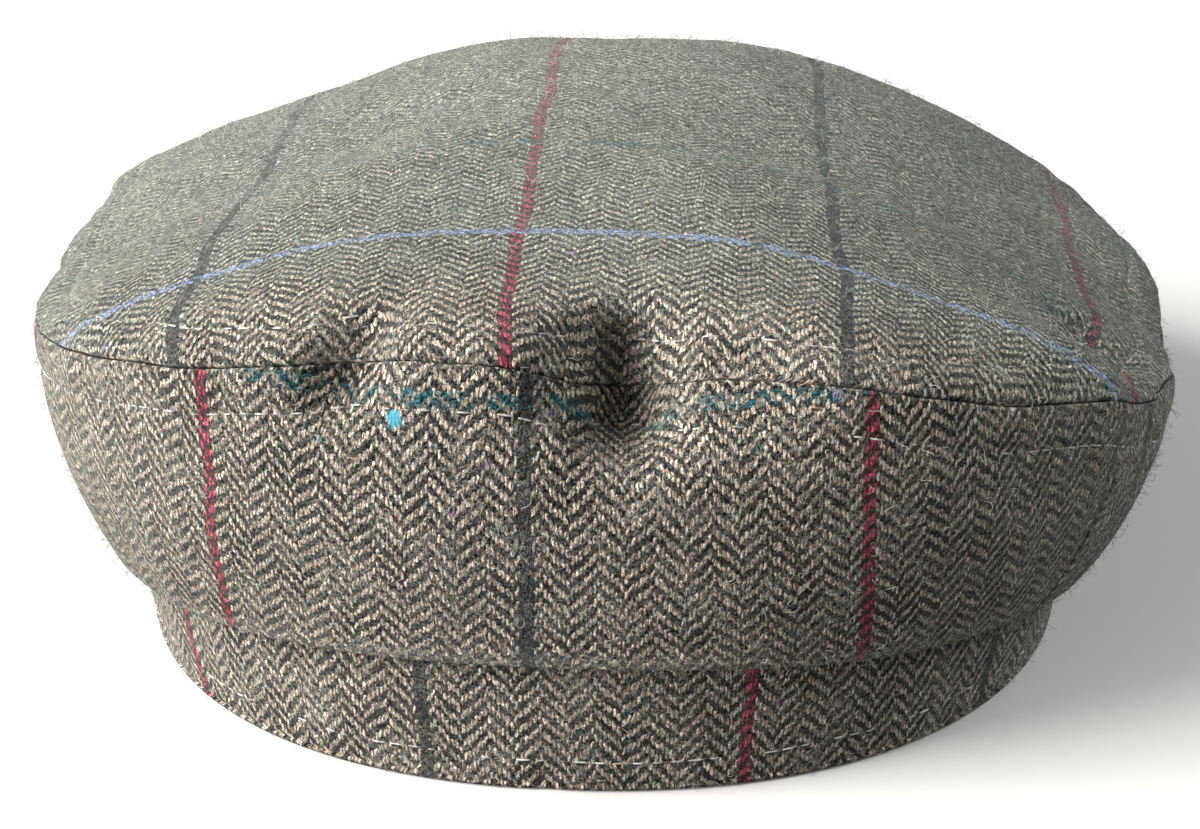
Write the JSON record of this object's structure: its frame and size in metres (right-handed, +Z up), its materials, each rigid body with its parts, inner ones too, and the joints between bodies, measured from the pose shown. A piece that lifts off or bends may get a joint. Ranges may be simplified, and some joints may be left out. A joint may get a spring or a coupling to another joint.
{
  "type": "fisherman cap",
  "caption": "Soft tweed cap with a full crown drooping over an upright cloth band, and a short stiff peak covered in the same cloth.",
  "frame": {"origin": "middle of the cap's footprint, on the surface that it rests on", "axes": "+Z up, the peak points to -Y, the wearer's left is +X"},
  "size_m": [0.2148, 0.2716, 0.0865],
  "materials": {
    "crown_tweed": "brushed herringbone wool",
    "side_tweed": "brushed herringbone wool",
    "band_tweed": "brushed herringbone wool",
    "peak_tweed": "brushed herringbone wool over a board"
  },
  "bodies": {
    "root": {"crown_tip": "crown_tweed", "crown_side_back": "side_tweed", "crown_side_front": "side_tweed", "band": "band_tweed", "peak": "peak_tweed"}
  },
  "joints": []
}
